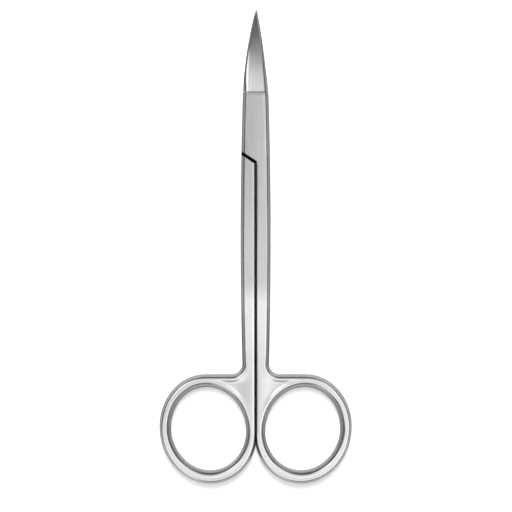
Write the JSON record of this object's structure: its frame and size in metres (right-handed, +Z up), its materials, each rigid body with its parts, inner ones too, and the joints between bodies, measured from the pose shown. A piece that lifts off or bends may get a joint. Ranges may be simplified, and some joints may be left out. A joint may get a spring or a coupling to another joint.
{
  "type": "surgical scissors",
  "caption": "Small double-curved surgical scissors with oval finger rings, slim legs, a screwed lap joint and curved pointed blades.",
  "frame": {"origin": "middle of the scissors' length and width, on the surface that they lie on", "axes": "+Y from the finger rings to the tips, +X to the front half's ring, +Z up, out of the front half's face"},
  "size_m": [0.0466, 0.115, 0.0085],
  "materials": {
    "satin_steel": "satin polished, fine lengthwise grain",
    "screw_steel": "turned and polished"
  },
  "bodies": {
    "rear": {"rear_half": "satin_steel"},
    "front": {"front_half": "satin_steel", "pivot_screw": "screw_steel"}
  },
  "joints": [
    {"name": "pivot", "type": "hinge", "parent": "rear", "child": "front", "pos_m": [0, 0.0291, 0.00639], "axis": [0, -0.061, 0.9981], "range_deg": [0, 60]}
  ]
}
